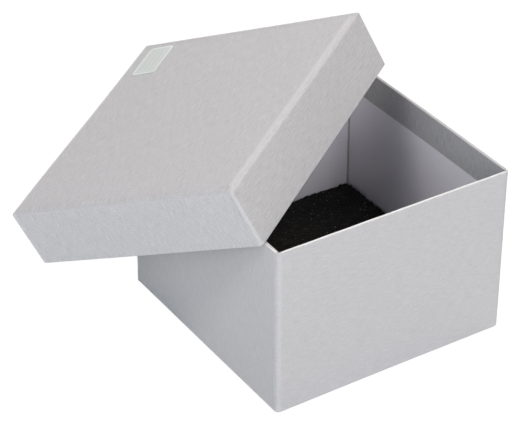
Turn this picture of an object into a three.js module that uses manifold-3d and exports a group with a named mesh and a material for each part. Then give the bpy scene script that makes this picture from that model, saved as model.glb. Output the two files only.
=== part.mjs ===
// Cryogenic storage box: a rigid board tray and a lift-off lid, each covered outside with textured paper and
// lined with white, and a black foam pad on the tray's floor. The lid leans on the open tray, off its seat,
// and touches it at three places.
// Frame: millimetres, +Z up, origin at the middle of the tray's underside, X and Y along its walls.

import * as THREE from "three";
import { mergeVertices } from "three/addons/utils/BufferGeometryUtils.js";
import Module from "manifold-3d";

const wasm = await Module();
wasm.setup();

// Tray and lid
const traySide = 130.2; // across the two walls that carry one layer of cover paper
const trayHeight = 89.9;
const trayFoldRadius = 1.4; // outside, of the folds of the floor
const trayCornerRadius = 2.6; // outside, of the upright corners
const traySeamInset = 2.4; // edge of an end panel of the cover paper, in from the square corner
const lidHeight = 31.8;
const lidFoldReach = 3.8; // of the rounding along the lid's top, across the top
const lidFoldRise = 2; // the same, down the sides
const lidCornerRadius = 0.9; // at the lid's top; its corners open out towards the rim
const lidRimCornerRadius = 2.3;
const lidSeamInset = 2.35;
const lidPlay = 0.95; // each side, between the tray's end panels and the closed lid

// Layers of a wall, from outside in: cover paper, board, lining, and the cover paper's turned-in hem
const paperThickness = 0.2;
const boardThickness = 1;
const liningThickness = 0.1;
const glueLine = 0.05; // between any two layers
const turnInDepth = 16.3; // of the hem, down the inside of the wall from the rim
const rimRadius = 0.45; // of the paper where it goes over the rim
const leastRadius = 0.3; // of an inside corner

// Board blank
const scoreDepth = 0.3; // of the groove left inside each fold of the blank
const wallGap = 0.3; // between two walls of the blank where they meet at a corner
const liningGap = 0.4; // the same, between two walls of the lining

// Corner stays: strips of gummed tape that tie the walls of the blank together, pressed into the board
const stayThickness = 0.12;
const stayReach = 11; // round the corner, on each wall
const stayMargin = 3; // short of the floor's fold and of the rim

// Foam pad
const foamThickness = 14.7;
const foamPlay = 0.4; // each side, to the turned-in hem that it has to pass
const foamRest = 0.05; // above the lining that it lies on
const foamRipple = 0.35; // height of the uneven cut surface, up and down
const foamRagged = 0.5; // how far its cut sides wander in
const foamRippleLength = 23;
const rippleShares = [1, 0.71, 0.43]; // lengths of its top's waves, of that length
const wanderShares = [0.53, 0.61]; // likewise, along its sides

// Sticker on the lid, near its far corner
const stickerLength = 23;
const stickerWidth = 15;
const stickerThickness = 0.15;
const stickerRadius = 2.2;
const stickerFromEnd = 17.3; // its middle, from the lid's far end wall
const stickerFromSide = 15.9; // its middle, from the lid's far side wall
const stickerTurn = THREE.MathUtils.degToRad(1.4);

// Lean of the lid: where its low corner stands, and which way it is turned. Its height and its two tilts follow
// from what it rests on.
const leanOut = 2.23; // low corner, out from the tray's left side
const leanAlong = 9.05; // low corner, along that side from the tray's near corner
const leanTurn = THREE.MathUtils.degToRad(30.6);
const firstPitch = THREE.MathUtils.degToRad(-11); // where the search for the tilts starts
const firstRoll = THREE.MathUtils.degToRad(-24);
const leanGap = 0.15; // between the lid and each of the three places where it rests

// Fineness of the curves and of the cuts
const cornerSteps = 5;
const foldSteps = 5;
const rimSteps = 3;
const stickerSteps = 6;
const foamSteps = 22;
const foamSideSteps = 3;
const cutOverrun = 2;

// Sizes that follow from these
const paperFace = glueLine + paperThickness; // outside of the paper, from the outside of the board
const liningFace = -(boardThickness + glueLine + liningThickness); // inside of the lining, likewise
const hemFace = liningFace - glueLine - paperThickness; // inside of the hem, likewise
const wallThickness = paperFace - hemFace;
const boardUnderside = paperThickness + glueLine; // of the floor, from the outside
const floorTop = boardUnderside + boardThickness;
const floorThickness = floorTop + glueLine + liningThickness;
const lidSide = traySide + 2 * (paperThickness + lidPlay + wallThickness);
const cornerCount = 4;
const quarterTurn = Math.PI / 2;

const materials = {
  board: new THREE.MeshStandardMaterial({ color: 0x9a8f80, roughness: 0.95, metalness: 0 }),
  stay: new THREE.MeshStandardMaterial({ color: 0xb59a72, roughness: 0.8, metalness: 0 }),
  paper: new THREE.MeshStandardMaterial({ color: 0xc4c4c8, roughness: 0.7, metalness: 0 }),
  lining: new THREE.MeshStandardMaterial({ color: 0xefeef2, roughness: 0.75, metalness: 0 }),
  foam: new THREE.MeshStandardMaterial({ color: 0x101010, roughness: 1, metalness: 0 }),
  sticker: new THREE.MeshStandardMaterial({ color: 0xe4ece9, roughness: 0.45, metalness: 0 }),
};

// A manifold solid from a closed geometry, and a geometry from a manifold solid.
function toSolid(geometry) {
  const bare = geometry.clone();
  for (const name of Object.keys(bare.attributes)) if (name !== "position") bare.deleteAttribute(name);
  const merged = mergeVertices(bare);
  return new wasm.Manifold(
    new wasm.Mesh({
      numProp: 3,
      vertProperties: new Float32Array(merged.attributes.position.array),
      triVerts: new Uint32Array(merged.index.array),
    }),
  );
}

function toGeometry(solid) {
  const { vertProperties, triVerts } = solid.getMesh();
  const geometry = new THREE.BufferGeometry();
  geometry.setAttribute("position", new THREE.BufferAttribute(new Float32Array(vertProperties), 3));
  geometry.setIndex(new THREE.BufferAttribute(new Uint32Array(triVerts), 1));
  geometry.computeVertexNormals();
  return geometry;
}

function part(name, geometry, material) {
  const mesh = new THREE.Mesh(geometry, material);
  mesh.name = name;
  return mesh;
}

// Points of a quarter of an ellipse in a section, from one angle to a quarter turn on.
function quarter(centreAcross, centreUp, radiusAcross, radiusUp, startAngle, steps) {
  return Array.from({ length: steps + 1 }, (_, step) => {
    const angle = startAngle + (quarterTurn * step) / steps;
    return [centreAcross + radiusAcross * Math.cos(angle), centreUp + radiusUp * Math.sin(angle)];
  });
}

// A box's frame for its layers. A section's points are [offset, height], with the offset measured outwards from
// the outside of the board's wall, so one section swept round the box gives a layer with even thickness.
class BoxForm {
  constructor({ side, height, foldReach, foldRise, cornerRadius, rimCornerRadius, seamInset }) {
    this.side = side;
    this.height = height;
    this.foldReach = foldReach;
    this.foldRise = foldRise;
    this.cornerRadius = cornerRadius;
    this.rimCornerRadius = rimCornerRadius;
    this.seamInset = seamInset;
    this.boardHalf = side / 2 - paperFace;
    this.boardTop = height - paperThickness - glueLine;
    this.foldCentre = paperFace - foldReach; // offset of the centre of the floor's fold
  }

  // One turn round the box at an offset and a height, anticlockwise from above.
  ring(offset, height) {
    const half = this.boardHalf + offset;
    const [low, high] = [this.cornerRadius, this.rimCornerRadius].map((outer) =>
      Math.max(outer - paperFace + offset, leastRadius),
    );
    const radius = THREE.MathUtils.lerp(low, high, height / this.height);
    const points = [];
    for (let corner = 0; corner < cornerCount; corner++) {
      const turn = corner * quarterTurn;
      const centre = new THREE.Vector2(half - radius, half - radius).rotateAround(new THREE.Vector2(), turn);
      for (let step = 0; step <= cornerSteps; step++) {
        const angle = turn + (quarterTurn * step) / cornerSteps;
        points.push([centre.x + radius * Math.cos(angle), centre.y + radius * Math.sin(angle), height]);
      }
    }
    return points;
  }

  // A section swept round the box. A section that starts and ends on a floor is closed over the middle; one
  // that is a closed loop makes a band.
  sweep(section, closedOverMiddle) {
    const rings = section.map(([offset, height]) => this.ring(offset, height));
    const perRing = rings[0].length;
    const positions = rings.flat(2);
    const faces = [];
    const joinedRings = closedOverMiddle ? rings.length - 1 : rings.length;
    for (let i = 0; i < joinedRings; i++) {
      const next = (i + 1) % rings.length;
      for (let j = 0; j < perRing; j++) {
        const k = (j + 1) % perRing;
        const a = i * perRing + j;
        const b = i * perRing + k;
        const c = next * perRing + k;
        const d = next * perRing + j;
        faces.push(a, b, c, a, c, d);
      }
    }
    if (closedOverMiddle) {
      const last = (rings.length - 1) * perRing;
      const firstMiddle = rings.length * perRing;
      positions.push(0, 0, section[0][1], 0, 0, section[section.length - 1][1]);
      for (let j = 0; j < perRing; j++) {
        const k = (j + 1) % perRing;
        faces.push(firstMiddle, k, j);
        faces.push(firstMiddle + 1, last + j, last + k);
      }
    }
    const geometry = new THREE.BufferGeometry();
    geometry.setAttribute("position", new THREE.Float32BufferAttribute(positions, 3));
    geometry.setIndex(faces);
    return toSolid(geometry);
  }

  // A fold of the floor at a distance in from the outside of the paper, from the floor up to the wall. Where
  // hardly any of its rounding is left, it comes to a point.
  fold(depth) {
    const rise = this.foldRise - depth;
    if (rise < leastRadius) return [[paperFace - depth, depth]];
    return quarter(this.foldCentre, this.foldRise, this.foldReach - depth, rise, -quarterTurn, foldSteps);
  }
}

// A thin upright cut on the diagonal through each corner of a box, from a height up past the rim.
function cutCorners(solid, form, width, fromHeight) {
  const upTo = form.height + cutOverrun;
  const length = 2 * (wallThickness + cutOverrun);
  let cut = solid;
  for (let corner = 0; corner < cornerCount; corner++) {
    const slit = new THREE.BoxGeometry(length, width, upTo - fromHeight);
    slit.rotateZ(quarterTurn / 2);
    slit.translate(form.boardHalf, form.boardHalf, (upTo + fromHeight) / 2);
    slit.rotateZ(corner * quarterTurn);
    cut = cut.subtract(toSolid(slit));
  }
  return cut;
}

// The four corner lengths of a band round the box, each an angle that reaches a distance along both walls.
function cornerLengths(band, form, reach) {
  return Array.from({ length: cornerCount }, (_, corner) => {
    const size = reach + cutOverrun;
    const block = new THREE.BoxGeometry(size, size, form.height + cutOverrun);
    const middle = form.boardHalf + cutOverrun - size / 2;
    block.translate(middle, middle, form.height / 2);
    block.rotateZ(corner * quarterTurn);
    return band.intersect(toSolid(block));
  });
}

function stayBand(form, outerOffset, depth, margin) {
  const low = floorTop + margin;
  const high = form.boardTop - margin;
  const section = [
    [outerOffset, low],
    [outerOffset, high],
    [-depth, high],
    [-depth, low],
  ];
  return form.sweep(section, false);
}

// Corner stays, flush in the board's wall.
function stays(form) {
  return cornerLengths(stayBand(form, 0, stayThickness, stayMargin), form, stayReach);
}

// Board blank, scored and folded up: a floor and four walls that meet at the corners without being joined. The
// score's groove is left inside a sharp fold, and a wide one is bent round.
function board(form) {
  const groove = [
    [-boardThickness, floorTop + scoreDepth],
    [-boardThickness + scoreDepth, floorTop - scoreDepth],
    [-boardThickness - scoreDepth, floorTop],
  ];
  const inside = form.fold(floorTop).reverse();
  const section = [
    ...form.fold(boardUnderside),
    [0, form.boardTop],
    [-boardThickness, form.boardTop],
    ...(inside.length > 1 ? inside : groove),
  ];
  let solid = form.sweep(section, true);
  const rebates = stayBand(form, cutOverrun, stayThickness + glueLine, stayMargin - glueLine);
  for (const rebate of cornerLengths(rebates, form, stayReach + glueLine)) solid = solid.subtract(rebate);
  return cutCorners(solid, form, wallGap, floorTop);
}

// White lining: a floor and four walls, folded up inside the board.
function lining(form) {
  const section = [
    ...form.fold(floorTop + glueLine),
    [-boardThickness - glueLine, form.boardTop],
    [liningFace, form.boardTop],
    ...form.fold(floorThickness).reverse(),
  ];
  return cutCorners(form.sweep(section, true), form, liningGap, floorThickness);
}

// End panel of the cover paper: it lies over the corner tabs of the two side panels, so it stands one layer
// proud of the wall, stops short of the corners and runs out into the floor's fold and the rim.
function endPanel(form) {
  const midPaper = paperThickness / 2;
  const rimCentre = paperFace - rimRadius;
  const rimHeight = form.height - rimRadius;
  const { foldCentre, foldReach, foldRise } = form;
  const outline = [
    ...quarter(foldCentre, foldRise, foldReach + paperThickness, foldRise, -quarterTurn, foldSteps),
    ...quarter(rimCentre, rimHeight, rimRadius + paperThickness, rimRadius, 0, rimSteps),
    ...quarter(rimCentre, rimHeight, rimRadius - midPaper, rimRadius - midPaper, 0, rimSteps).reverse(),
    ...form.fold(midPaper).reverse(),
  ];
  const shape = new THREE.Shape(outline.map(([offset, height]) => new THREE.Vector2(offset, height)));
  const length = form.side - 2 * form.seamInset;
  const panel = new THREE.ExtrudeGeometry(shape, { depth: length, bevelEnabled: false });
  const acrossX = new THREE.Vector3(1, 0, 0);
  const upZ = new THREE.Vector3(0, 0, 1);
  const alongY = new THREE.Vector3().crossVectors(acrossX, upZ);
  panel.applyMatrix4(new THREE.Matrix4().makeBasis(acrossX, upZ, alongY));
  panel.translate(form.boardHalf, length / 2, 0);
  return panel;
}

// Cover paper, one sheet: floor, side panels with their corner tabs, the hem turned in over the rim, and the
// two end panels.
function coverPaper(form) {
  const hemBack = hemFace + paperThickness;
  const rimHeight = form.height - rimRadius;
  const hemEnd = form.height - turnInDepth;
  const underRim = form.boardTop + glueLine;
  const section = [
    ...form.fold(0),
    ...quarter(paperFace - rimRadius, rimHeight, rimRadius, rimRadius, 0, rimSteps),
    ...quarter(hemFace + rimRadius, rimHeight, rimRadius, rimRadius, quarterTurn, rimSteps),
    [hemFace, hemEnd],
    [hemBack, hemEnd],
    [hemBack, underRim],
    [glueLine, underRim],
    ...form.fold(paperThickness).reverse(),
  ];
  const panel = endPanel(form);
  const oppositePanel = panel.clone().rotateZ(2 * quarterTurn);
  return form.sweep(section, true).add(toSolid(panel)).add(toSolid(oppositePanel));
}

// All the layers of one box, open side up, with its floor's underside at height zero.
function coveredBox(name, form) {
  const group = new THREE.Group();
  group.add(part(name + "_board", toGeometry(board(form)), materials.board));
  stays(form).forEach((stay, i) => {
    group.add(part(name + "_corner_stay_" + (i + 1), toGeometry(stay), materials.stay));
  });
  group.add(part(name + "_cover_paper", toGeometry(coverPaper(form)), materials.paper));
  group.add(part(name + "_lining", toGeometry(lining(form)), materials.lining));
  return group;
}

// Foam pad: a sawn slab with an uneven top and sides that wander in from a straight cut.
function foamPad(form) {
  const side = 2 * (form.boardHalf + hemFace - foamPlay);
  const slab = new THREE.BoxGeometry(side, side, foamThickness, foamSteps, foamSteps, foamSideSteps);
  for (const name of ["normal", "uv"]) slab.deleteAttribute(name);
  const geometry = mergeVertices(slab);
  const position = geometry.attributes.position;
  const wave = (along, across, pitchShare) =>
    Math.sin((2 * Math.PI * along) / (foamRippleLength * pitchShare) + across / foamRippleLength);
  for (let i = 0; i < position.count; i++) {
    const x = position.getX(i);
    const y = position.getY(i);
    const up = position.getZ(i) / foamThickness + 1 / 2; // 0 at the underside, 1 at the top
    const [longShare, middleShare, shortShare] = rippleShares;
    const ripple = (wave(x, y, longShare) + wave(y, -x, middleShare) + wave(x + y, x, shortShare)) / 3;
    const wanderX = (1 + wave(y, x, wanderShares[0])) / 2;
    const wanderY = (1 + wave(x, y, wanderShares[1])) / 2;
    const inX = 1 - (2 * foamRagged * wanderX * up) / side;
    const inY = 1 - (2 * foamRagged * wanderY * up) / side;
    position.setXYZ(i, x * inX, y * inY, position.getZ(i) + foamRipple * ripple * up);
  }
  geometry.computeVertexNormals();
  const pad = part("foam_pad", geometry, materials.foam);
  pad.position.z = floorThickness + foamRest + foamThickness / 2;
  return pad;
}

// Sticker with round corners, lying on the lid's paper.
function sticker() {
  const halfLength = stickerLength / 2;
  const halfWidth = stickerWidth / 2;
  const outline = new THREE.Shape();
  outline.moveTo(halfLength, stickerRadius - halfWidth);
  outline.lineTo(halfLength, halfWidth - stickerRadius);
  outline.absarc(halfLength - stickerRadius, halfWidth - stickerRadius, stickerRadius, 0, quarterTurn);
  outline.lineTo(stickerRadius - halfLength, halfWidth);
  outline.absarc(stickerRadius - halfLength, halfWidth - stickerRadius, stickerRadius, quarterTurn, Math.PI);
  outline.lineTo(-halfLength, stickerRadius - halfWidth);
  outline.absarc(stickerRadius - halfLength, stickerRadius - halfWidth, stickerRadius, Math.PI, -quarterTurn);
  outline.lineTo(halfLength - stickerRadius, -halfWidth);
  outline.absarc(halfLength - stickerRadius, stickerRadius - halfWidth, stickerRadius, -quarterTurn, 0);
  const geometry = new THREE.ExtrudeGeometry(outline, {
    depth: stickerThickness,
    bevelEnabled: false,
    curveSegments: stickerSteps,
  });
  const mesh = part("sticker", geometry, materials.sticker);
  mesh.position.set(lidSide / 2 - stickerFromEnd, lidSide / 2 - stickerFromSide, lidHeight + glueLine);
  mesh.rotation.z = stickerTurn;
  return mesh;
}

// The lid's place for a height of its low corner and two tilts.
function lidPlace(cornerHeight, pitch, roll) {
  const turn = new THREE.Quaternion().setFromEuler(new THREE.Euler(roll, pitch, leanTurn, "ZYX"));
  const corner = new THREE.Vector3(-traySide / 2 - leanOut, -traySide / 2 + leanAlong, cornerHeight);
  const fromCorner = (x, y, z) => new THREE.Vector3(x, y, z).applyQuaternion(turn).add(corner);
  return { turn, fromCorner };
}

// How far the lid is above each of its three rests, more than the gap that it keeps there.
function leanErrors(cornerHeight, pitch, roll) {
  const { turn, fromCorner } = lidPlace(cornerHeight, pitch, roll);
  const rest = trayHeight + leanGap;
  const alongX = new THREE.Vector3(1, 0, 0).applyQuaternion(turn);
  const alongY = new THREE.Vector3(0, 1, 0).applyQuaternion(turn);
  const up = new THREE.Vector3(0, 0, 1).applyQuaternion(turn);
  const heightWhere = (point, along, axis, value) => point.z + ((value - point[axis]) / along[axis]) * along.z;
  // the inner lower edge of the lid's near side, on the rim of the tray's left end
  const leftRim = -traySide / 2 - paperThickness;
  const onLeftRim = heightWhere(fromCorner(0, wallThickness, 0), alongX, "x", leftRim) - rest;
  // the inner lower edge of the lid's far end, on the rim of the tray's back
  const onBackRim = heightWhere(fromCorner(lidSide - wallThickness, 0, 0), alongY, "y", traySide / 2) - rest;
  // the lid's lining, on the rounded top of the tray's left back corner
  const roundedOff = trayCornerRadius * (1 - Math.cos(quarterTurn / 2));
  const cornerAt = traySide / 2 - roundedOff;
  const inside = fromCorner(0, 0, lidHeight - floorThickness);
  const slopeDrop = (up.x * (-cornerAt - inside.x) + up.y * (cornerAt - inside.y)) / up.z;
  const onCorner = inside.z - slopeDrop - rest;
  return new THREE.Vector3(onLeftRim, onBackRim, onCorner);
}

// The lid's height and tilts by Newton's method, so that it rests however the sizes change.
function restLid() {
  const stepShare = 1e-5;
  const rounds = 12;
  const errorsAt = (v) => leanErrors(v.x * trayHeight, v.y, v.z);
  const place = new THREE.Vector3(1, firstPitch, firstRoll);
  for (let round = 0; round < rounds; round++) {
    const errors = errorsAt(place);
    const slopes = ["x", "y", "z"].map((axis) => {
      const moved = place.clone();
      moved[axis] += stepShare;
      return errorsAt(moved).sub(errors).divideScalar(stepShare);
    });
    const [a, b, c] = slopes;
    const matrix = new THREE.Matrix3().set(a.x, b.x, c.x, a.y, b.y, c.y, a.z, b.z, c.z);
    place.sub(errors.applyMatrix3(matrix.invert()));
  }
  return lidPlace(place.x * trayHeight, place.y, place.z);
}

// Tray with its pad
const trayForm = new BoxForm({
  side: traySide,
  height: trayHeight,
  foldReach: trayFoldRadius,
  foldRise: trayFoldRadius,
  cornerRadius: trayCornerRadius,
  rimCornerRadius: trayCornerRadius,
  seamInset: traySeamInset,
});
const tray = coveredBox("tray", trayForm);
const pad = foamPad(trayForm);

// Lid: the same construction turned over, with the sticker on its top, then leaned on the tray
const lidForm = new BoxForm({
  side: lidSide,
  height: lidHeight,
  foldReach: lidFoldReach,
  foldRise: lidFoldRise,
  cornerRadius: lidCornerRadius,
  rimCornerRadius: lidRimCornerRadius,
  seamInset: lidSeamInset,
});
const lidBox = coveredBox("lid", lidForm);
lidBox.rotation.x = Math.PI;
lidBox.position.z = lidHeight;
const lid = new THREE.Group();
lid.add(lidBox, sticker());
const { turn, fromCorner } = restLid();
lid.quaternion.copy(turn);
lid.position.copy(fromCorner(lidSide / 2, lidSide / 2, 0));

const box = new THREE.Group();
box.add(tray, pad, lid);
export default box;
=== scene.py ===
# Looks of a cryogenic storage box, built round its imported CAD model: a tray and a lid of board, each
# covered with textured paper and lined with white, a black foam pad on the tray's floor and a sticker on
# the lid.
import math

import bpy
import numpy as np
from mathutils import Matrix, Vector


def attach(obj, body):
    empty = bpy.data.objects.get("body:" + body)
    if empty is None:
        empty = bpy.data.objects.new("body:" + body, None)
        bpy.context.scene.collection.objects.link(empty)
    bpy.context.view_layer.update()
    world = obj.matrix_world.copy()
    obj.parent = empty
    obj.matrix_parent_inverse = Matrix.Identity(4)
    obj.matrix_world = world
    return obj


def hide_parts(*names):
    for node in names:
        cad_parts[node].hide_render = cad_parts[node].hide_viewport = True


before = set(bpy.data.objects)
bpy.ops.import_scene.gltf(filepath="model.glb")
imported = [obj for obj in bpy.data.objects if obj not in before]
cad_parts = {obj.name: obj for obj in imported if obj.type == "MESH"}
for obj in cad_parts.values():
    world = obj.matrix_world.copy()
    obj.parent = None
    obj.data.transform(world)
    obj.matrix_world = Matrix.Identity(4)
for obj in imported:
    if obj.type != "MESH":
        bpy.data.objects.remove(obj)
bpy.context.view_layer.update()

# Sizes in millimetres, as in the CAD model
MM = 0.001
PAPER = 0.2
GLUE = 0.05
BOARD = 1.0
LINING = 0.1
PAPER_FACE = GLUE + PAPER  # outside of the paper, from the outside of the board
LINING_FACE = -(BOARD + GLUE + LINING)
HEM_FACE = LINING_FACE - GLUE - PAPER
FLOOR = PAPER_FACE + BOARD + GLUE + LINING
HEM_DEPTH = 16.3
RIM_RADIUS = 0.45
LEAST_RADIUS = 0.3
MOST_ROUND = 0.9  # radius of a corner, as a share of half a small turn's width
TRAY_SIDE = 130.2
TRAY_HEIGHT = 89.9
LID_SIDE = 135.8
LID_HEIGHT = 31.8
FOAM_SIDE = 126.1
FOAM_THICKNESS = 14.7
FOAM_LOW = 1.45  # height of its underside
STICKER = (23.0, 15.0)
STICKER_THICKNESS = 0.15
STICKER_LOW = 0.03  # height of its underside over the lid
STICKER_RADIUS = 2.2
STICKER_FROM_CORNER = (17.3, 15.9)
STICKER_TURN = 1.4  # degrees

# Meshes: distances between points in millimetres, and steps round a fold
WALL_PITCH = 4.5
HEM_PITCH = 3.0
FLAT_PITCH = 5.0
FOAM_PITCH = 0.8
END_STEPS = (0.25, 0.7, 1.6, 3.2)  # places of the first points in from an end
PANEL_END_STEPS = (0.05, 0.15, 0.4, 1.0, 2.2, 4.0)
NEAR = 0.01  # closer than this counts as the same place
ARC_STEPS = 8
FOLD_STEPS = 10
RIM_STEPS = 5

# Camera, from the fit to the photograph
PHOTO_WIDTH = 523
FOCAL_PIXELS = 2163.4
SENSOR = 36.0
CAMERA_CLIP = (0.05, 20.0)
CAMERA_AT = (-0.50211, -0.72337, 0.62896)
CAMERA_FORWARD = (0.45617, 0.70164, -0.54737)
CAMERA_RIGHT = (0.84009, -0.54243, 0.00481)


# Shader maths as Python expressions
class Link:
    """An output socket that takes part in expressions on values."""

    def __init__(self, tree, socket):
        self.tree = tree
        self.socket = socket

    def maths(self, operation, *values):
        inputs = dict(enumerate(values))
        return self.tree.add("ShaderNodeMath", {"operation": operation}, inputs)[0]

    def __add__(self, other):
        return self.maths("ADD", self, other)

    def __radd__(self, other):
        return self.maths("ADD", other, self)

    def __sub__(self, other):
        return self.maths("SUBTRACT", self, other)

    def __rsub__(self, other):
        return self.maths("SUBTRACT", other, self)

    def __mul__(self, other):
        return self.maths("MULTIPLY", self, other)

    def __pow__(self, other):
        return self.maths("POWER", self, other)

    def __abs__(self):
        return self.maths("ABSOLUTE", self)

    def least(self, other):
        return self.maths("MINIMUM", self, other)

    def most(self, other):
        return self.maths("MAXIMUM", self, other)

    def rise(self, low, high):
        """0 below low and 1 above high, with a smooth step between. It falls if low is the larger."""
        values = {"Value": self, "From Min": min(low, high), "From Max": max(low, high)}
        values |= {"To Min": float(low > high), "To Max": float(low < high)}
        return self.tree.add("ShaderNodeMapRange", {"interpolation_type": "SMOOTHSTEP"}, values)[0]


class Tree:
    """The nodes of one material or of the world."""

    def __init__(self, owner):
        owner.use_nodes = True
        self.nodes = owner.node_tree.nodes
        self.links = owner.node_tree.links
        self.nodes.clear()

    def add(self, kind, settings=None, values=None):
        """Makes a node, sets it, and gives its sockets values or links. Returns its outputs."""
        node = self.nodes.new(kind)
        for name, setting in (settings or {}).items():
            setattr(node, name, setting)
        for name, value in (values or {}).items():
            socket = node.inputs[name]
            if isinstance(value, Link):
                self.links.new(value.socket, socket)
            else:
                socket.default_value = value
        return Outputs(self, node)

    def noise(self, place, scale, detail=2.0, roughness=0.5):
        """Noise from 0 to 1 at a place."""
        values = {"Vector": place, "Scale": scale, "Detail": detail, "Roughness": roughness}
        return self.add("ShaderNodeTexNoise", None, values)["Fac"]

    def vector(self, x, y, z=0.0):
        return self.add("ShaderNodeCombineXYZ", None, {"X": x, "Y": y, "Z": z})[0]

    def split(self, vector):
        parts = self.add("ShaderNodeSeparateXYZ", None, {"Vector": vector})
        return parts["X"], parts["Y"], parts["Z"]

    def mix(self, share, first, second):
        """A colour between two others."""
        values = {"Factor": share, 6: first, 7: second}
        return self.add("ShaderNodeMix", {"data_type": "RGBA"}, values)[2]

    def bump(self, height, relief):
        """Normal of a surface that has a height from 0 to 1, whose full relief is in millimetres."""
        return self.add("ShaderNodeBump", None, {"Height": height, "Distance": relief * MM})[0]

    def surface(self, **values):
        """The principled shader as the material's surface."""
        sockets = {}
        for name, value in values.items():
            sockets[name.replace("_", " ").title().replace("Ior", "IOR")] = value
        self.finish(self.add("ShaderNodeBsdfPrincipled", None, sockets)[0])

    def finish(self, shader):
        self.add("ShaderNodeOutputMaterial", None, {"Surface": shader})


class Outputs:
    """A node's outputs by name or number, each as a link."""

    def __init__(self, tree, node):
        self.tree = tree
        self.node = node

    def __getitem__(self, name):
        return Link(self.tree, self.node.outputs[name])


def material(name):
    made = bpy.data.materials.new(name)
    return made, Tree(made)


def grey(level):
    return (level, level, level, 1)


def seen_directly(tree):
    """1 for rays from the camera, reflected ones and those through something clear, and 0 for others."""
    ray = tree.add("ShaderNodeLightPath")
    return ray["Is Camera Ray"].most(ray["Is Glossy Ray"]).most(ray["Is Transmission Ray"])


# Finishes: lengths in millimetres, noise scales in cycles per millimetre on a sheet, colours linear
PULP_DARK = (0.435, 0.435, 0.447, 1)
PULP_LIGHT = (0.665, 0.665, 0.68, 1)
PULP_SPECK = (0.2, 0.2, 0.22, 1)
# painted highlight along the folds, together with their wear
FOLD_WEAR_AND_HIGHLIGHT = (0.68, 0.67, 0.68, 1)
# painted highlight on the rims, together with their wear
RIM_WEAR_AND_HIGHLIGHT = (0.86, 0.86, 0.87, 1)
# painted highlight on the end panels' cut edges, over their lighter core
PANEL_EDGE_AND_HIGHLIGHT = (0.72, 0.72, 0.73, 1)
HEM_EDGE = (0.72, 0.62, 0.52, 1)
SHADED = (0.25, 0.25, 0.26, 1)
LINEN_RELIEF = 0.02
HEM_LINEN = 1.2  # how much more the texture shows on the hem, where light grazes it
FAR_RIM_WEAR_AND_HIGHLIGHT = 0.4  # of the rims behind, as a share of the wear and painted highlight of the two in front


def sheet_place(tree):
    """Place on the unfolded sheet of paper, in millimetres."""
    uv = tree.add("ShaderNodeUVMap", {"uv_map": "sheet"})["UV"]
    return tree.add("ShaderNodeVectorMath", {"operation": "SCALE"}, {0: uv, "Scale": 1 / MM})[0]


def linen(tree, place):
    """Height of the linen texture from 0 to 1: two sets of uneven threads pressed into the paper, and its
    fibres. The threads that run along u show the most, and in patches those across them show more."""
    u, v, _ = tree.split(place)
    across_scale, along_scale, layer = (1.6, 0.25), (0.19, 1.8), 7.0
    warp = tree.vector(u * across_scale[0], v * across_scale[1])
    weft = tree.vector(u * along_scale[0], v * along_scale[1], layer)
    warp = tree.noise(warp, scale=1.0, detail=0.0)
    weft = tree.noise(weft, scale=1.0, detail=0.0)
    fibre = tree.noise(place, scale=1.9, detail=1.0)
    patchy = tree.noise(place, scale=0.06).rise(0.3, 0.7) * 0.25
    warp_share, weft_share, fibre_share, settled = 0.2, 0.95, 1.6, 0.3
    threads = (warp - 0.5) * (warp_share + patchy) + (weft - 0.5) * (weft_share - patchy)
    return threads + fibre * fibre_share - settled


def paper_shade(tree, place, threads, contrast):
    """The cover paper's colour: lighter threads, faint clouds, and a few dark specks of pulp."""
    cloud = tree.noise(place, scale=0.035, detail=3.0, roughness=0.6)
    share = (threads - 0.5) * contrast + (cloud - 0.5) * 0.12 + 0.5
    speck = tree.noise(place, scale=0.9, detail=1.0, roughness=0.4).rise(0.755, 0.8)
    return tree.mix(speck * 0.3, tree.mix(share, PULP_DARK, PULP_LIGHT), PULP_SPECK)


def paper_surface(tree, base, threads):
    normal = tree.bump(threads, LINEN_RELIEF)
    roughness = 0.68 + (threads - 0.5) * 0.15
    tree.surface(base_color=base, roughness=roughness, specular_ior_level=0.35, normal=normal)


def wear_and_highlight_share(in_front):
    """How worn a rim is and how much highlight is painted on it: the two rims in front fully, those behind
    less.
    """
    return in_front * (1 - FAR_RIM_WEAR_AND_HIGHLIGHT) + FAR_RIM_WEAR_AND_HIGHLIGHT


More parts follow.
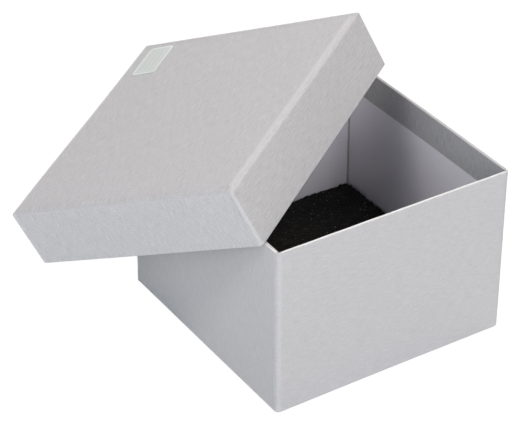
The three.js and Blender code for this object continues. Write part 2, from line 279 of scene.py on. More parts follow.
def cover_paper(name, box):
    """Cover paper. Each band on its sheet comes in or goes out between two places."""
    made, tree = material(name)
    place = sheet_place(tree)
    u, v, _ = tree.split(place)
    out = abs(u).most(abs(v))
    along = abs(u).least(abs(v))
    threads = linen(tree, place)
    wear_and_highlight_noise = tree.noise(place, scale=0.35, detail=4.0, roughness=0.65)

    # paper, with more of its texture on the hem
    hem = out.rise(box.rim_to - 0.2, box.rim_to + 0.2)
    base = paper_shade(tree, place, threads, hem * HEM_LINEN + box.linen)

    # folds of the side panels, worn a little lighter and painted with a highlight along them
    fold_middle = box.plate_half + box.fold_length * 0.25
    fold = abs(abs(v) - fold_middle).rise(1.5, 0.5)
    fold_wear_and_highlight = wear_and_highlight_noise.rise(0.4, 0.7) * 0.12 + 0.4
    base = tree.mix(fold * fold_wear_and_highlight, base, FOLD_WEAR_AND_HIGHLIGHT)

    # rim, worn white in places and painted with a highlight, most on the two rims in front
    in_front = (u * -1.0).most(v * -1.0).rise(box.plate_half, box.plate_half + 1.0)
    rim = out.rise(box.rim_from + 0.4, box.rim_from + 0.7) * out.rise(box.rim_to - 0.3, box.rim_to - 0.7)
    rim_wear_and_highlight = wear_and_highlight_noise.rise(0.35, 0.65) * 0.25 + 0.75
    base = tree.mix(rim * wear_and_highlight_share(in_front) * rim_wear_and_highlight, base, RIM_WEAR_AND_HIGHLIGHT)

    # cut edge of the hem
    hem_edge = out.rise(box.hem_to - 0.5, box.hem_to - 0.2)
    hem_edge = hem_edge * out.rise(box.hem_to + 0.3, box.hem_to + 0.15)
    base = tree.mix(hem_edge * 0.8, base, HEM_EDGE)

    # shade beside the end panels' cut edges and in the mitres of the hem
    on_end = abs(u).rise(box.plate_half, box.plate_half + 0.3)
    beside_panel = on_end * abs(v).rise(box.panel_half + 0.45, box.panel_half + 0.1)
    mitre = out.rise(box.rim_from + 0.9, box.rim_from + 1.1) * along.rise(box.half - 1.85, box.half - 1.5)
    base = tree.mix((beside_panel * 0.4).most(mitre * 0.7), base, SHADED)
    paper_surface(tree, base, threads)
    return made


def end_paper(name, box):
    """The end panel's own paper: the same, with its cut edges a little lighter and a painted highlight
    along them, and its rim worn and painted with a highlight.
    """
    made, tree = material(name)
    place = sheet_place(tree)
    u, v, _ = tree.split(place)
    threads = linen(tree, place)
    cut_edge_and_highlight = abs(v).rise(box.panel_half - 0.6, box.panel_half - 0.1)
    base = tree.mix(cut_edge_and_highlight * 0.3, paper_shade(tree, place, threads, box.linen), PANEL_EDGE_AND_HIGHLIGHT)
    rim = abs(u).rise(box.rim_from + 0.35, box.rim_from + 0.6)
    in_front = u.rise(1.0, -1.0)
    paper_surface(tree, tree.mix(rim * wear_and_highlight_share(in_front), base, RIM_WEAR_AND_HIGHLIGHT), threads)
    return made


def white_lining():
    made, tree = material("white_lining")
    place = sheet_place(tree)
    fibre = tree.noise(place, scale=1.0, detail=2.0, roughness=0.6)
    cloud = tree.noise(place, scale=0.05, detail=3.0, roughness=0.6)
    dull, bright = (0.79, 0.775, 0.82, 1), (0.87, 0.855, 0.9, 1)
    base = tree.mix(fibre * 1.4 + cloud * 0.5 - 0.45, dull, bright)
    tree.surface(base_color=base, roughness=0.6, specular_ior_level=0.35, normal=tree.bump(fibre, 0.04))
    return made


def foam_finish():
    """Black foam with painted glints of its cell struts, as specks: most are faint, a few are pale or
    reddish. Its scales are in cycles per metre."""
    made, tree = material("foam")
    place = tree.add("ShaderNodeTexCoord")["Object"]
    cells = tree.add("ShaderNodeTexVoronoi", None, {"Vector": place, "Scale": 1300.0})["Distance"]
    # the specks are painted glints of the foam's cell struts
    glint_cells = tree.add("ShaderNodeTexVoronoi", None, {"Vector": place, "Scale": 780.0})
    chance, redness, _ = tree.split(glint_cells["Color"])
    speck = glint_cells["Distance"].rise(0.24, 0.12) * chance.rise(0.5, 1.0) ** 2.5
    pale, reddish = (0.38, 0.37, 0.35, 1), (0.33, 0.17, 0.13, 1)
    deep, dusty = (0.0015, 0.0015, 0.0016, 1), (0.0125, 0.0125, 0.0132, 1)
    patch = tree.noise(place, scale=650.0, detail=3.0, roughness=0.6).rise(0.3, 0.75)
    glints = tree.mix(redness.rise(0.65, 0.95), pale, reddish)
    base = tree.mix(speck, tree.mix(patch, deep, dusty), glints)
    tree.surface(base_color=base, roughness=0.9, specular_ior_level=0.2, normal=tree.bump(cells, 0.3))
    return made


def sticker_finish():
    """Blank write-on sticker: pale, with a fine border and three ruled lines."""
    made, tree = material("sticker")
    x, y, _ = tree.split(sheet_place(tree))
    round_x = (abs(x) - (STICKER[0] / 2 - STICKER_RADIUS)).most(0.0)
    round_y = (abs(y) - (STICKER[1] / 2 - STICKER_RADIUS)).most(0.0)
    inwards = STICKER_RADIUS - (round_x**2.0 + round_y**2.0) ** 0.5
    border_middle, border_reach, border_core = 1.15, 0.32, 0.16
    border = abs(inwards - border_middle).rise(border_reach, border_core)
    line_pitch, line_height, line_half = 3.1, 0.6, 8.4
    row = abs(y - line_height)
    row = row.least(abs(y - line_height + line_pitch)).least(abs(y - line_height - line_pitch))
    ruled = row.rise(0.2, 0.08) * abs(x).rise(line_half + 0.2, line_half)
    fibre = tree.noise(tree.vector(x, y), scale=0.8, detail=3.0, roughness=0.6)
    base = tree.mix(inwards.rise(1.2, 1.5), (0.76, 0.82, 0.79, 1), (0.6, 0.645, 0.63, 1))
    base = tree.mix(border * 0.5, base, (0.42, 0.5, 0.47, 1))
    base = tree.mix(ruled * 0.55, base, (0.33, 0.36, 0.37, 1))
    tree.surface(base_color=base, roughness=0.38 + fibre * 0.1, specular_ior_level=0.5)
    return made


def board_finish(name, dark, light, scale):
    """Bare board or gummed tape: pulp with darker flecks. The scale is in cycles per metre."""
    made, tree = material(name)
    place = tree.add("ShaderNodeTexCoord")["Object"]
    pulp = tree.noise(place, scale=scale, detail=5.0, roughness=0.7)
    fleck = tree.noise(place, scale=scale * 2).rise(0.62, 0.7)
    flecks = tuple(channel / 2 for channel in dark[:3]) + (1,)
    base = tree.mix(fleck * 0.5, tree.mix(pulp, dark, light), flecks)
    tree.surface(base_color=base, roughness=0.9, normal=tree.bump(pulp, 0.08))
    return made


# Forms
def quarter(across, up, reach, rise, start, steps):
    """Points of a quarter of an ellipse in a section."""
    angles = start + np.linspace(0, math.pi / 2, steps + 1)
    return [(across + reach * math.cos(a), up + rise * math.sin(a)) for a in angles]


def length_of(points):
    return sum(math.dist(a, b) for a, b in zip(points, points[1:]))


def stations(low, high, pitch, end_steps=END_STEPS):
    """Places from low to high, closer together near both ends."""
    steps = [step for step in end_steps if 2 * step < high - low]
    inner = steps[-1] if steps else 0
    count = max(1, round((high - low - 2 * inner) / pitch))
    middle = np.linspace(low + inner, high - inner, count + 1)
    return [low, *(low + s for s in steps[:-1]), *middle, *(high - s for s in reversed(steps[:-1])), high]


class Box:
    """A covered box, open side up, with its floor's underside at height zero, in millimetres.

    reach and rise are those of the folds round its floor, and corner and rim_corner are the radii of its
    upright corners at the floor and at the rim, all on the outside. seam is how far its end panels stop
    short of its corners, and linen is how strongly its texture shows."""

    def __init__(self, side, height, reach, rise, corner, rim_corner, seam, linen):
        self.half = side / 2 - PAPER_FACE
        self.height = height
        self.reach = reach
        self.rise = rise
        self.corner = corner
        self.rim_corner = rim_corner
        self.fold_centre = PAPER_FACE - reach
        self.plate_half = self.half + self.fold_centre
        self.panel_half = side / 2 - seam
        self.rim_height = height - RIM_RADIUS
        self.hem_end = height - HEM_DEPTH
        self.under_rim = height - PAPER
        exact_steps = 24
        self.fold_length = length_of(self.fold(0, exact_steps))
        self.rim_from = self.plate_half + self.fold_length + self.rim_height - rise
        self.rim_to = self.rim_from + math.pi * RIM_RADIUS + PAPER_FACE - HEM_FACE - 2 * RIM_RADIUS
        self.hem_to = self.rim_to + self.rim_height - self.hem_end
        self.linen = linen
        straight = self.half - corner
        self.shares = [place / straight for place in stations(-straight, straight, WALL_PITCH)[1:-1]]
        self.columns = []
        for number in range(4):
            self.columns += [(number, "arc", share) for share in np.linspace(0, 1, ARC_STEPS + 1)]
            self.columns += [(number, "side", share) for share in self.shares]

    def fold(self, depth, steps):
        """Fold of the floor, from the floor up to the wall, at a depth from the outside of the paper."""
        reach, rise = self.reach - depth, self.rise - depth
        return quarter(self.fold_centre, self.rise, reach, rise, -math.pi / 2, steps)

    def rim_arc(self, across, start):
        """Rounded edge of the rim, on its outside or its inside."""
        return quarter(across, self.rim_height, RIM_RADIUS, RIM_RADIUS, start, RIM_STEPS)

    def ring(self, offset, height, square=False):
        """One turn round the box: its points, half the length of its straight sides, and its radius."""
        half = self.half + offset
        corners = (0, 0) if square else (self.corner, self.rim_corner)
        low, high = (max(r - PAPER_FACE + offset, LEAST_RADIUS) for r in corners)
        radius = min(low + (high - low) * height / self.height, half * MOST_ROUND)
        straight = half - radius
        points = []
        for corner, kind, share in self.columns:
            if kind == "arc":
                angle = (corner + share) * math.pi / 2
                turn = corner * math.pi / 2
                middle = (math.cos(turn) - math.sin(turn), math.sin(turn) + math.cos(turn))
                x = middle[0] * straight + radius * math.cos(angle)
                y = middle[1] * straight + radius * math.sin(angle)
            else:
                out = (math.cos((corner + 1) * math.pi / 2), math.sin((corner + 1) * math.pi / 2))
                x = out[0] * half - out[1] * share * straight
                y = out[1] * half + out[0] * share * straight
            points.append((x, y, height))
        return points, straight, radius

    def wall_place(self, column, right_side, straight, radius):
        """Which wall a strip of columns is on, and where along it the strip's left or right side is."""
        corner, kind, share = self.columns[column]
        if kind == "arc" and share < 1:
            share += right_side / ARC_STEPS
            if corner % 2 == 0:  # the strip leads into the wall after this corner
                return corner + 1, -straight - radius * (1 - share) * math.pi / 2
            return corner, straight + radius * share * math.pi / 2
        if kind == "arc":  # the last place of the arc is the wall's first
            return corner + 1, (self.shares[0] if right_side else -1) * straight
        if not right_side:
            return corner + 1, share * straight
        following = self.columns[(column + 1) % len(self.columns)]
        return corner + 1, (following[2] if following[1] == "side" else 1) * straight


def settle(points, seed, most):
    """Lets a form's points wander by up to most, as glued board does. Forms with one seed stay close."""
    p = np.asarray(points, float)
    x, y, z = p[..., 0], p[..., 1], p[..., 2]
    s = seed * 1.7
    moved = p.copy()
    moved[..., 0] += most * np.sin(y / 17 + s) * np.cos(z / 23 + 2 * s)
    moved[..., 1] += most * np.sin(x / 19 + 3 * s) * np.cos(z / 21 + s)
    moved[..., 2] += most * np.sin(x / 21 + s) * np.cos(y / 18 + 2 * s)
    return moved


def make_mesh(name, points, faces, uvs, finish, smooth_to=40):
    """A piece from points in millimetres, faces, and the places on the sheet of the faces' corners. Its
    edges look smooth up to an angle in degrees."""
    mesh = bpy.data.meshes.new(name)
    mesh.from_pydata((np.asarray(points) * MM).tolist(), [], faces)
    if uvs is not None:
        layer = mesh.uv_layers.new(name="sheet")
        layer.data.foreach_set("uv", (np.asarray(uvs, np.float32) * MM).ravel())
    mesh.polygons.foreach_set("use_smooth", [True] * len(mesh.polygons))
    mesh.set_sharp_from_angle(angle=math.radians(smooth_to))
    mesh.materials.append(finish)
    piece = bpy.data.objects.new(name, mesh)
    bpy.context.scene.collection.objects.link(piece)
    return piece


def sweep(name, box, rows, finish, shape, square=False):
    """A section swept round a box. Each of its rows has an offset from the board's outside, a height, a
    distance on the sheet from the middle of the floor, and whether it is on the floor. The first and the
    last row are on the floor and are closed over its middle. shape moves the points."""
    rings = [box.ring(offset, height, square) for offset, height, _, _ in rows]
    points = shape(np.array([ring for ring, _, _ in rings]))
    count = len(box.columns)
    faces, uvs = [], []
    for i in range(len(rows) - 1):
        for j in range(count):
            k = (j + 1) % count
            faces.append((i * count + j, i * count + k, (i + 1) * count + k, (i + 1) * count + j))
            for row, side in ((i, 0), (i, 1), (i + 1, 1), (i + 1, 0)):
                _, _, distance, on_floor = rows[row]
                if on_floor:
                    uvs.append(rings[row][0][k if side else j][:2])
                    continue
                wall, along = box.wall_place(j, side, rings[row][1], rings[row][2])
                turn = wall * math.pi / 2
                out = (math.cos(turn), math.sin(turn))
                uvs.append((out[0] * distance - out[1] * along, out[1] * distance + out[0] * along))
    points = points.reshape(-1, 3)
    last = (len(rows) - 1) * count
    middle = len(points)
    points = np.vstack([points, points[:count].mean(0), points[last:last + count].mean(0)])
    for j in range(count):
        k = (j + 1) % count
        faces.append((middle, k, j))
        uvs += [(0, 0), rings[0][0][k][:2], rings[0][0][j][:2]]
        faces.append((middle + 1, last + j, last + k))
        uvs += [(0, 0), rings[-1][0][j][:2], rings[-1][0][k][:2]]
    return make_mesh(name, points, faces, uvs, finish)


def measured(section, start):
    """Adds to each point of a section its distance along it, from a given start."""
    rows, distance = [], start
    for number, point in enumerate(section):
        if number:
            distance += math.dist(point, section[number - 1])
        rows.append((*point, distance, False))
    return rows


def plate_rows(box, edge_offset, height, outwards=True):
    """Rows over a floor, from its middle to a distance from its edge, or back."""
    edge = box.half + edge_offset
    innermost = 1.0
    rows = [(d - box.half, height, d, True) for d in stations(innermost, edge, FLAT_PITCH)]
    return rows if outwards else rows[::-1]


def cover(name, box, finish, seed):
    """Cover paper: the floor, the folds, the walls, the rim and the turned-in hem, with its other side."""
    outside = box.fold(0, FOLD_STEPS)
    outside += [(PAPER_FACE, z) for z in stations(box.rise, box.rim_height, WALL_PITCH)[1:-1]]
    outside += box.rim_arc(PAPER_FACE - RIM_RADIUS, 0)
    outside += [(x, box.height) for x in (-0.4, -0.6, -0.8)]
    outside += box.rim_arc(HEM_FACE + RIM_RADIUS, math.pi / 2)
    outside += [(HEM_FACE, z) for z in stations(box.hem_end, box.rim_height, HEM_PITCH)[-2::-1]]
    outer_rows = measured(outside, box.plate_half)
    inside = [(HEM_FACE + PAPER, box.hem_end), (HEM_FACE + PAPER, box.under_rim), (GLUE, box.under_rim)]
    inside += box.fold(PAPER, FOLD_STEPS // 2 - 1)[::-1]
    inner_rows = measured(inside, outer_rows[-1][2])
    rows = plate_rows(box, box.fold_centre, 0)[:-1] + outer_rows + inner_rows
    rows += plate_rows(box, box.fold_centre, PAPER, False)[1::4]
    wander, ripple_height = 0.1, 0.05
    notch_depth, notch_from, notch_inside = 0.45, box.height - 0.3, -0.35

    def shape(points):
        """Lets the walls wander, ripples the rim, and notches it where the hem is mitred."""
        moved = settle(points, seed, wander)
        at_rim = np.clip((points[..., 2] - box.hem_end) / HEM_DEPTH, 0, 1) ** 8
        ripple = ripple_height * np.sin(points[..., 0] / 3.1 + seed) * np.sin(points[..., 1] / 2.7)
        moved[..., 2] += ripple * at_rim
        for j, (_, kind, share) in enumerate(box.columns):
            if kind != "arc":
                continue
            near_mitre = 1 - abs(share - 0.5) / 0.5
            for i, (offset, height, _, on_floor) in enumerate(rows):
                if height > notch_from and offset < notch_inside and not on_floor:
                    moved[i, j, 2] -= notch_depth * near_mitre**2
        return moved

    return sweep(name, box, rows, finish, shape)


def end_panel(name, box, finish, seed, sign):
    """End panel of the cover paper, a thin sheet over the side panels' tabs, from the floor's fold to the
    rim. Its cut edges wander and curl up a little."""
    fold = box.fold(0, FOLD_STEPS)
    outer = [(x + PAPER * share, z) for (x, z), share in zip(fold, np.linspace(0, 1, FOLD_STEPS + 1))]
    outer += [(PAPER_FACE + PAPER, z) for z in stations(box.rise, box.rim_height, WALL_PITCH)[1:-1]]
    rim = box.rim_arc(PAPER_FACE - RIM_RADIUS, 0)
    outer += [(x + PAPER * share, z) for (x, z), share in zip(rim, np.linspace(1, 0, RIM_STEPS + 1))]
    rows = measured(outer, box.plate_half)
    across = stations(-box.panel_half, box.panel_half, WALL_PITCH, PANEL_END_STEPS)
    curl_height, curl_reach, edge_reach = 0.07, 0.5, 1
    wander, laid_in = 0.1, 0.02
    points, places = [], []
    for x, z, distance, _ in rows:
        free = min(1, distance - box.plate_half) * min(1, rows[-1][2] - distance)
        wobble = 0.06 * math.sin(z / 6 + seed)
        for y in across:
            edge = box.panel_half - abs(y)
            uneven = 1 + 0.5 * math.sin(z / 4 + seed + y)
            curl = curl_height * math.exp(-edge / curl_reach) * free * uneven
            beside = (wobble + 0.03 * math.sin(z / 1.9 + y)) * (edge < edge_reach) * math.copysign(1, y)
            points.append((box.half + x + curl, y + beside, z))
            places.append((distance, y))
    width = len(across)
    count = len(points)
    backs = [(x - (PAPER + laid_in), y, z) for x, y, z in points]
    faces, uvs = [], []
    for i in range(len(rows) - 1):
        for j in range(width - 1):
            a, b = i * width + j, i * width + j + 1
            c, d = b + width, a + width
            faces += [(a, b, c, d), (count + d, count + c, count + b, count + a)]
            uvs += [places[n] for n in (a, b, c, d)] + [places[n] for n in (d, c, b, a)]
    rim_loop = list(range(width)) + [i * width + width - 1 for i in range(1, len(rows))]
    rim_loop += [(len(rows) - 1) * width + j for j in range(width - 2, -1, -1)]
    rim_loop += [i * width for i in range(len(rows) - 2, 0, -1)]
    for a, b in zip(rim_loop, rim_loop[1:] + rim_loop[:1]):
        faces.append((count + a, count + b, b, a))
        uvs += [places[a], places[b], places[b], places[a]]
    points = np.array(points + backs)
    points[:, :2] *= sign
    return make_mesh(name, settle(points, seed, wander), faces, np.array(uvs) * sign, finish)


def lining(name, box, finish, seed):
    """White lining: floor and walls, with a slit at each upright corner where its walls meet."""
    least_fold, fold_steps, behind_steps = 0.35, 5, 3
    reach = max(box.reach - FLOOR, least_fold)
    rise = max(box.rise - FLOOR, least_fold)
    centre = (LINING_FACE - reach, FLOOR + rise)
    inside = quarter(*centre, reach, rise, -math.pi / 2, fold_steps)
    inside += [(LINING_FACE, z) for z in stations(FLOOR + rise, box.under_rim - GLUE, FLAT_PITCH)[1:]]
    behind = [(LINING_FACE + LINING, inside[-1][1])]
    behind += quarter(*centre, reach + LINING, rise + LINING, -math.pi / 2, behind_steps)[::-1]
    rows = plate_rows(box, centre[0], FLOOR)[:-1]
    rows += measured(inside, box.half + LINING_FACE) + measured(behind, box.half)
    rows += plate_rows(box, centre[0], FLOOR - LINING, False)[1::4]
    wander, slit_depth, slit_half = 0.05, 0.45, 0.1

    def shape(points):
        moved = settle(points, seed, wander)
        for j, (corner, kind, share) in enumerate(box.columns):
            if kind != "arc" or abs(share - 0.5) > slit_half:
                continue
            angle = (corner + share) * math.pi / 2
            out = np.array([math.cos(angle), math.sin(angle)])
            for i, (offset, _, _, on_floor) in enumerate(rows):
                if offset >= LINING_FACE - NEAR and not on_floor:
                    moved[i, j, :2] += out * slit_depth
        return moved

    return sweep(name, box, rows, finish, shape, square=True)


def grain(points, pitch, seed):
    """Smooth random values from -1 to 1 on a lattice of a given pitch, at points in millimetres."""
    lattice_size = (41, 43, 47)
    lattice = np.random.default_rng(seed).uniform(-1, 1, lattice_size)
    p = points / pitch
    low = np.floor(p).astype(int)
    t = p - low
    t = t * t * (3 - 2 * t)
    total = np.zeros(len(points))
    for corner in range(8):
        step = np.array([corner & 1, corner >> 1 & 1, corner >> 2 & 1])
        weight = np.where(step, t, 1 - t).prod(1)
        x, y, z = ((low + step) % lattice_size).T
        total += weight * lattice[x, y, z]
    return total


def slab(across, up):
    """The six sides of a slab, as points and faces on a grid."""
    n, m = len(across), len(up)
    index, points, faces = {}, [], []

    def point(i, j, k):
        if (i, j, k) not in index:
            index[i, j, k] = len(points)
            points.append((across[i], across[j], up[k]))
        return index[i, j, k]

    def side(count_a, count_b, place, flip):
        for a in range(count_a - 1):
            for b in range(count_b - 1):
                four = [place(a, b), place(a + 1, b), place(a + 1, b + 1), place(a, b + 1)]
                faces.append(tuple(four[::-1] if flip else four))

    side(n, n, lambda a, b: point(a, b, m - 1), False)
    side(n, n, lambda a, b: point(a, b, 0), True)
    side(n, m, lambda a, b: point(a, 0, b), False)
    side(n, m, lambda a, b: point(a, n - 1, b), True)
    side(n, m, lambda a, b: point(0, a, b), True)
    side(n, m, lambda a, b: point(n - 1, a, b), False)
    return np.array(points), faces


def foam(finish):
    """Foam pad: a sawn slab of coarse open-cell foam, with a rough top, crumbling edges and broken cell
    walls. Its sides go in more towards the top, and its upright edges are rounded more there."""
    half = FOAM_SIDE / 2
    across = np.linspace(-half, half, round(FOAM_SIDE / FOAM_PITCH) + 1)
    up = np.linspace(0, FOAM_THICKNESS, round(FOAM_THICKNESS / FOAM_PITCH) + 1)
    p, faces = slab(across, up)
    top = p[:, 2] > FOAM_THICKNESS - NEAR
    high = p[:, 2] / FOAM_THICKNESS
    edge = half - np.abs(p[:, :2]).max(1)

    # sawn top, lower where its edges have crumbled
    coarse = grain(p, pitch=9.0, seed=1) * 0.35 + grain(p, pitch=3.2, seed=2) * 0.35
    fine = grain(p, pitch=1.1, seed=3) * 0.3 + grain(p + 50, pitch=0.8, seed=4) * 0.25
    crumble = np.exp(-edge / 1.2) * 0.45 + np.exp(-edge / 2.4) * 0.95 * grain(p, pitch=1.7, seed=5)
    p[:, 2] += np.where(top, 0.1 + coarse * 0.6 + fine - crumble, 0)

    # rough sides
    for axis in (0, 1):
        on_side = (half - np.abs(p[:, axis]) < NEAR) & (p[:, 2] > NEAR)
        waves = grain(p + 20 * axis, pitch=4.1, seed=6) * 0.45 + grain(p, pitch=1.3, seed=7) * 0.3
        inwards = np.clip((0.28 + waves) * (0.3 + 0.7 * high), -0.1, 1.2)
        inwards += 0.5 * np.exp(-(FOAM_THICKNESS - p[:, 2]) / 0.8)
        p[:, axis] -= np.where(on_side, np.sign(p[:, axis]) * inwards, 0)

    # rounded upright edges
    reach = 0.8 + 2.4 * np.clip(high, 0, 1)[:, None]
    beyond = np.maximum(np.abs(p[:, :2]) - (half - reach), 0)
    rounding = beyond.max(1, keepdims=True) / np.maximum(np.hypot(*beyond.T)[:, None], 1e-9)
    p[:, :2] -= np.sign(p[:, :2]) * beyond * (1 - rounding) * (beyond.min(1, keepdims=True) > 0)

    spikes, spike_faces = broken_walls(p[top], len(p))
    p = np.vstack([p, spikes])
    p[:, 2] += FOAM_LOW
    return make_mesh("foam_pad_cells", p, faces + spike_faces, None, finish, smooth_to=180)


def broken_walls(tops, first):
    """Short spikes of broken cell wall that stand on the pad's top, closer together near its edges. first
    is the number of their first point."""
    rng = np.random.default_rng(8)
    half = FOAM_SIDE / 2
    spikes, edge_band, edge_weight, inset, sunk = 5200, 2.0, 7.0, 0.2, 0.15
    edge = half - np.abs(tops[:, :2]).max(1)
    weight = np.where(edge < edge_band, edge_weight, 1.0)
    feet = tops[rng.choice(len(tops), spikes, p=weight / weight.sum())]
    points, faces = [], []
    for foot in feet:
        lean = rng.normal(0, 0.5, 2)
        length = rng.uniform(0.3, 1.1)
        wide = rng.uniform(0.08, 0.24)
        spin = rng.uniform(0, 2 * math.pi)
        base = foot + np.array([*rng.uniform(-0.4, 0.4, 2), -sunk])
        base[:2] = np.clip(base[:2], -half + inset, half - inset)
        tip = base + np.array([*lean, 1.0]) / math.hypot(1, *lean) * length
        tip[:2] = np.clip(tip[:2], -half, half)
        start = first + len(points)
        for turn in range(3):
            angle = spin + turn * 2 * math.pi / 3
            points.append(base + wide * np.array([math.cos(angle), math.sin(angle), 0]))
        points.append(tip)
        faces += [(start + turn, start + (turn + 1) % 3, start + 3) for turn in range(3)]
        faces.append((start + 2, start + 1, start))
    return np.array(points), faces


def sticker(finish):
    """Sticker with round corners, from its underside up, in the lid's frame."""
    outline = []
    for corner, (sx, sy) in enumerate(((1, 1), (-1, 1), (-1, -1), (1, -1))):
        cx = sx * (STICKER[0] / 2 - STICKER_RADIUS)
        cy = sy * (STICKER[1] / 2 - STICKER_RADIUS)
        outline += quarter(cx, cy, STICKER_RADIUS, STICKER_RADIUS, corner * math.pi / 2, FOLD_STEPS)
    outline = np.array(outline)
    count = len(outline)
    levels = [(1.0, 0), (1.0, STICKER_THICKNESS * 0.7), (0.995, STICKER_THICKNESS)]
    levels += [(share, STICKER_THICKNESS) for share in (0.9, 0.75, 0.6, 0.45, 0.3, 0.15, 0)]
    flat = np.vstack([outline * share for share, _ in levels[:-1]] + [(0, 0)])
    heights = np.append(np.repeat([height for _, height in levels[:-1]], count), levels[-1][1])
    faces = []
    for i in range(len(levels) - 2):
        for j in range(count):
            k = (j + 1) % count
            faces.append((i * count + j, i * count + k, (i + 1) * count + k, (i + 1) * count + j))
    last = (len(levels) - 2) * count
    faces += [(last + j, last + (j + 1) % count, len(flat) - 1) for j in range(count)]
    faces.append(tuple(range(count - 1, -1, -1)))
    uvs = [flat[a] for face in faces for a in face]
    turn = math.radians(STICKER_TURN)
    x, y = flat.T
    across = x * math.cos(turn) - y * math.sin(turn) + LID_SIDE / 2 - STICKER_FROM_CORNER[0]
    along = x * math.sin(turn) + y * math.cos(turn) + LID_SIDE / 2 - STICKER_FROM_CORNER[1]
    points = np.column_stack([across, along, heights + LID_HEIGHT + STICKER_LOW])
    return make_mesh("sticker_sheet", points, faces, uvs, finish)


# Place of the lid, measured on its CAD nodes
def lid_frame():
    """The lid's own frame: origin amid its open side, Z to its top and X across its end panels."""
    guess = {"z": Vector((-0.36, 0.26, 0.90)), "x": Vector((0.84, 0.50, 0.20))}
    least_facing = 0.97  # cosine of the widest angle from the guess
    axes = {}
    for name, near in guess.items():
        total = Vector()
        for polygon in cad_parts["lid_lining"].data.polygons:
            facing = polygon.normal.dot(near)
            if abs(facing) > least_facing:
                total += polygon.normal * math.copysign(polygon.area, facing)
        axes[name] = total.normalized()
    y = axes["z"].cross(axes["x"]).normalized()
    x = y.cross(axes["z"])
    turn = Matrix((x, y, axes["z"])).transposed()
    corners = np.array([v.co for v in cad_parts["lid_cover_paper"].data.vertices]) @ np.array(turn)
    low, high = corners.min(0), corners.max(0)
    origin = turn @ Vector(((low[0] + high[0]) / 2, (low[1] + high[1]) / 2, low[2]))
    return Matrix.Translation(origin) @ turn.to_4x4()


TRAY = Box(TRAY_SIDE, TRAY_HEIGHT, reach=1.4, rise=1.4, corner=2.6, rim_corner=2.6, seam=2.4, linen=0.56)
LID = Box(LID_SIDE, LID_HEIGHT, reach=3.8, rise=2.0, corner=0.9, rim_corner=1.8, seam=2.35, linen=0.86)

# Tray
tray_paper = cover_paper("tray_cover_paper", TRAY)
tray_end_paper = end_paper("tray_end_paper", TRAY)
lining_paper = white_lining()
tray_pieces = [
    cover("tray_cover", TRAY, tray_paper, 1),
    end_panel("tray_end_panel_left", TRAY, tray_end_paper, 1, -1),
    end_panel("tray_end_panel_right", TRAY, tray_end_paper, 1, 1),
]
for piece in tray_pieces:
    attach(piece, "tray")
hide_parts("tray_cover_paper")
tray_lining = lining("tray_lining_sheet", TRAY, lining_paper, 1)
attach(tray_lining, "tray")
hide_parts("tray_lining")

# Foam pad
pad = foam(foam_finish())
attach(pad, "pad")
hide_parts("foam_pad")

# Lid, made open side up and turned over
place = lid_frame()
turned_over = place @ Matrix.Translation((0, 0, LID_HEIGHT * MM)) @ Matrix.Rotation(math.pi, 4, "X")
lid_paper = cover_paper("lid_cover_paper", LID)
lid_end_paper = end_paper("lid_end_paper", LID)
lid_pieces = [
    cover("lid_cover", LID, lid_paper, 2),
    end_panel("lid_end_panel_near", LID, lid_end_paper, 2, -1),
    end_panel("lid_end_panel_far", LID, lid_end_paper, 2, 1),
]
for piece in lid_pieces:
    piece.matrix_world = turned_over
    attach(piece, "lid")
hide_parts("lid_cover_paper")
lid_lining = lining("lid_lining_sheet", LID, lining_paper, 2)
lid_lining.matrix_world = turned_over
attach(lid_lining, "lid")
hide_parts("lid_lining")
label = sticker(sticker_finish())
label.matrix_world = place
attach(label, "lid")
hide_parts("sticker")

# Board and corner stays, which the paper hides, keep their CAD shapes
greyboard = board_finish("greyboard", (0.22, 0.19, 0.15, 1), (0.42, 0.37, 0.3, 1), 900.0)
gummed_tape = board_finish("gummed_tape", (0.33, 0.22, 0.11, 1), (0.52, 0.38, 0.21, 1), 600.0)
for name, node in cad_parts.items():
    if name.endswith("_board") or "_corner_stay_" in name:
        node.data.materials.clear()
        node.data.materials.append(greyboard if name.endswith("_board") else gummed_tape)


# Floor: white to the camera, with the box's shadow near it
def floor():
    radius, below, shadow_from, shadow_to, least_white = 3.0, 0.0003, 0.22, 0.5, 0.92
    place = (0, 0, -below)
    bpy.ops.mesh.primitive_circle_add(vertices=96, radius=radius, fill_type="NGON", location=place)
    made = bpy.context.active_object
    made.name = "floor"
    finish, tree = material("floor")
    straight = seen_directly(tree)
    centre = tree.add("ShaderNodeTexCoord")["Object"]
    distance = tree.add("ShaderNodeVectorMath", {"operation": "LENGTH"}, {0: centre})["Value"]
    matt = tree.add("ShaderNodeBsdfDiffuse", None, {"Color": grey(0.8)})[0]
    white = tree.add("ShaderNodeEmission", None, {"Color": grey(1.0), "Strength": 1.06})[0]
    share = straight * (least_white + distance.rise(shadow_from, shadow_to) * (1 - least_white))
    tree.finish(tree.add("ShaderNodeMixShader", None, {0: share, 1: matt, 2: white})[0])
    made.data.materials.append(finish)


floor()


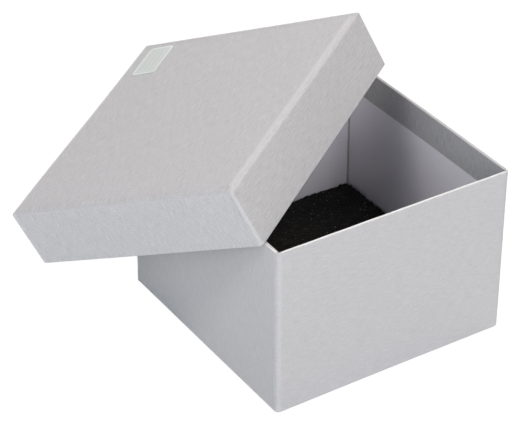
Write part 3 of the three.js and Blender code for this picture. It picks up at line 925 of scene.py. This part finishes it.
# Lamps, world and camera
LAMPS_AIM = Vector((-0.02, 0.0, 0.07))
LAMPS_DISTANCE = 1.5
LAMPS = [
    ("lamp_front_high_left", -40, 60, 0.45, 6.16, (1.000, 0.877, 0.847)),
    ("lamp_front_high_right", 45, 48, 0.45, 5.08, (1.000, 0.969, 0.984)),
    ("lamp_front", 15, 22, 0.45, 4.04, (0.926, 0.946, 1.000)),
    ("lamp_front_left", -36, 30, 0.8, 5.72, (0.654, 0.804, 1.000)),
    ("lamp_back", 180, 35, 1.2, 11.86, (0.926, 0.946, 1.000)),
    ("lamp_low_right", 59, 5, 0.8, 4.64, (0.991, 1.000, 0.957)),
    ("lamp_low_front", 0, 8, 0.45, 2.60, (0.969, 0.977, 1.000)),
    ("lamp_back_right", 150, 60, 0.45, 4.88, (1.000, 0.865, 0.635)),
    ("lamp_left", -40, 25, 0.45, 1.72, (1.000, 0.953, 0.651)),
]


def lamp(name, azimuth, elevation, width, power, colour):
    """Square soft lamp that looks at the box. Its azimuth is in degrees from the camera's, to its right."""
    heading = math.atan2(CAMERA_AT[1], CAMERA_AT[0]) + math.radians(azimuth)
    tilt = math.radians(elevation)
    level = math.cos(tilt)
    back = Vector((math.cos(heading) * level, math.sin(heading) * level, math.sin(tilt)))
    data = bpy.data.lights.new(name, "AREA")
    data.size = width
    data.energy = power
    data.color = colour
    made = bpy.data.objects.new(name, data)
    made.location = LAMPS_AIM + back * LAMPS_DISTANCE
    made.rotation_mode = "QUATERNION"
    made.rotation_quaternion = (-back).to_track_quat("-Z", "Y")
    made.visible_camera = False
    bpy.context.scene.collection.objects.link(made)


for values in LAMPS:
    lamp(*values)

world = bpy.data.worlds.new("studio")
bpy.context.scene.world = world
sky = Tree(world)
straight = seen_directly(sky)
dark = sky.add("ShaderNodeBackground", None, {"Color": grey(1.0), "Strength": 0.0})[0]
backdrop = sky.add("ShaderNodeBackground", None, {"Color": grey(1.0), "Strength": 1.0})[0]
both = sky.add("ShaderNodeMixShader", None, {0: straight, 1: dark, 2: backdrop})[0]
sky.add("ShaderNodeOutputWorld", None, {"Surface": both})

camera_data = bpy.data.cameras.new("camera")
camera_data.sensor_width = SENSOR
camera_data.lens = FOCAL_PIXELS / PHOTO_WIDTH * SENSOR
camera_data.clip_start, camera_data.clip_end = CAMERA_CLIP
camera = bpy.data.objects.new("camera", camera_data)
forward = Vector(CAMERA_FORWARD).normalized()
right = Vector(CAMERA_RIGHT)
right = (right - forward * right.dot(forward)).normalized()
turn = Matrix((right, right.cross(forward), -forward)).transposed()
camera.matrix_world = Matrix.Translation(CAMERA_AT) @ turn.to_4x4()
bpy.context.scene.collection.objects.link(camera)
bpy.context.scene.camera = camera
bpy.context.scene.view_settings.view_transform = "Standard"
